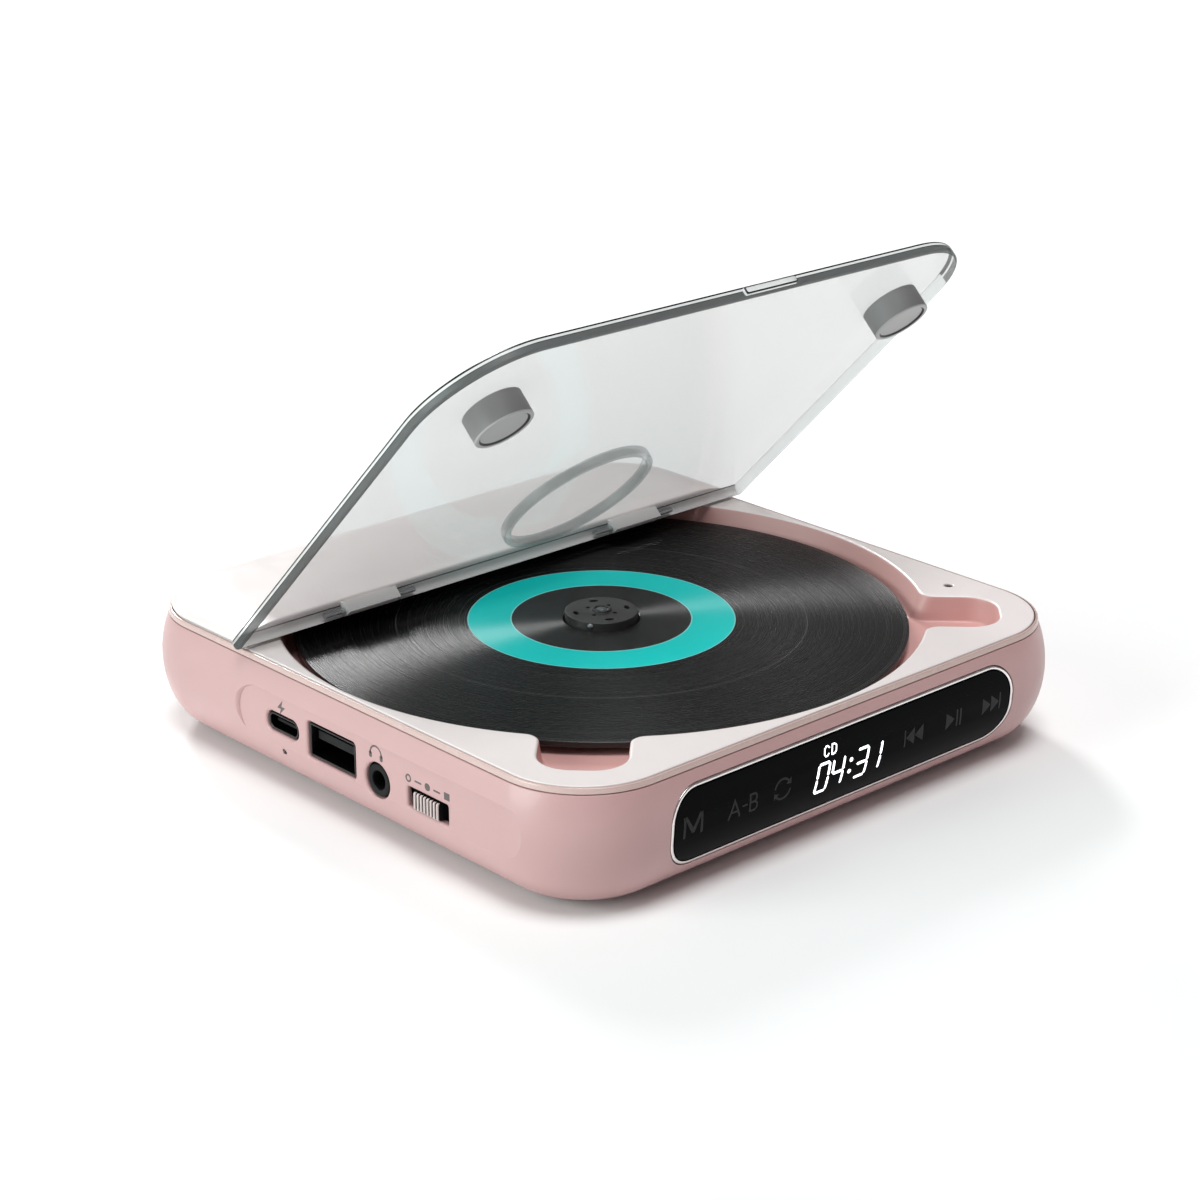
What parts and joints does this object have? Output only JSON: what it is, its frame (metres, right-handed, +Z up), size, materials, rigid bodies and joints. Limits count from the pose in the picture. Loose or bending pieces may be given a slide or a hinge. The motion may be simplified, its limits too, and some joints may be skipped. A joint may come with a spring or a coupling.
{
  "type": "portable cd player",
  "caption": "Square portable disc player with a clear lid hinged on a raised rear strip, side connectors and a front touch panel.",
  "frame": {"origin": "on the surface the player stands on, under the middle of its body", "axes": "+X to the right facing the touch panel, +Y from the panel to the hinge side, +Z up"},
  "size_m": [0.134, 0.134, 0.0962],
  "materials": {
    "rose_shell": "satin, dusty pink",
    "pale_deck": "satin, pale pink",
    "trim_ring": "gloss, pale",
    "clear_lid": "clear, polished; a clear plastic in the real lid",
    "grey_pad": "matt grey",
    "steel": "plain",
    "panel_glass": "gloss black",
    "bright_rim": "bright",
    "display": "white",
    "circuit_board": "green resist",
    "chip": "matt black",
    "battery_wrap": "silver-grey film",
    "connector_metal": "plated",
    "black_plastic": "moulded",
    "led_lens": "frosted",
    "disc_print": "gloss black print",
    "lens_glass": "clear, coated",
    "foot_rubber": "matt black"
  },
  "bodies": {
    "body": {"side_shell": "rose_shell", "trim_ring": "trim_ring", "top_deck": "pale_deck", "bottom_cover": "rose_shell", "foot_1": "foot_rubber", "foot_2": "foot_rubber", "foot_3": "foot_rubber", "foot_4": "foot_rubber", "case_screw_1": "steel", "case_screw_2": "steel", "case_screw_3": "steel", "case_screw_4": "steel", "rear_strip": "pale_deck", "hinge_pin_left": "steel", "hinge_pin_right": "steel", "touch_panel": "panel_glass", "panel_rim": "bright_rim", "touch_board": "circuit_board", "display_module": "display", "usb_c_socket": "connector_metal", "usb_a_socket": "connector_metal", "headphone_jack": "black_plastic", "switch_body": "connector_metal", "charge_light": "led_lens", "drive_chassis": "steel", "chassis_grommet_1": "foot_rubber", "chassis_grommet_2": "foot_rubber", "chassis_grommet_3": "foot_rubber", "chassis_grommet_4": "foot_rubber", "guide_rod_front": "steel", "guide_rod_rear": "steel", "spindle_motor": "steel", "sled_motor": "steel", "main_board": "circuit_board", "decoder_chip": "chip", "motor_driver_chip": "chip", "audio_chip": "chip", "battery": "battery_wrap", "lid_sensor_body": "chip"},
    "lid": {"lid_panel": "clear_lid", "lid_center_ring": "clear_lid", "lid_pad_left": "grey_pad", "lid_pad_right": "grey_pad"},
    "turntable": {"turntable": "black_plastic", "hub_ball_1": "steel", "hub_ball_2": "steel", "hub_ball_3": "steel", "disc": "disc_print"},
    "lead_screw": {"lead_screw": "steel"},
    "pickup": {"pickup_sled": "black_plastic", "pickup_lens": "lens_glass"},
    "switch_knob": {"switch_knob": "black_plastic"},
    "lid_sensor_pin": {"lid_sensor_pin": "black_plastic"}
  },
  "joints": [
    {"name": "lid_hinge", "type": "hinge", "parent": "body", "child": "lid", "pos_m": [0, 0.0285, 0.02645], "axis": [-1, 0, 0], "range_deg": [-46, 29]},
    {"name": "spindle_spin", "type": "hinge", "parent": "body", "child": "turntable", "pos_m": [0, 0, 0.0211], "axis": [0, 0, 1], "continuous": true},
    {"name": "lead_screw_spin", "type": "hinge", "parent": "body", "child": "lead_screw", "pos_m": [0.0042, -0.0215, 0.0096], "axis": [-1, 0, 0], "range_deg": [0, 4021]},
    {"name": "sled_slide", "type": "slide", "parent": "body", "child": "pickup", "axis": [1, 0, 0], "range_m": [0, 0.0335]},
    {"name": "switch_slide", "type": "slide", "parent": "body", "child": "switch_knob", "axis": [0, 1, 0], "range_m": [-0.0018, 0.0018]},
    {"name": "lid_sensor_slide", "type": "slide", "parent": "body", "child": "lid_sensor_pin", "axis": [0, 0, 1], "range_m": [-0.0008, 0], "stiffness_N_per_m": 200}
  ],
  "couplings": [
    {"joint": "lead_screw_spin", "follows": "sled_slide", "rad_per_m": 2094.4}
  ]
}
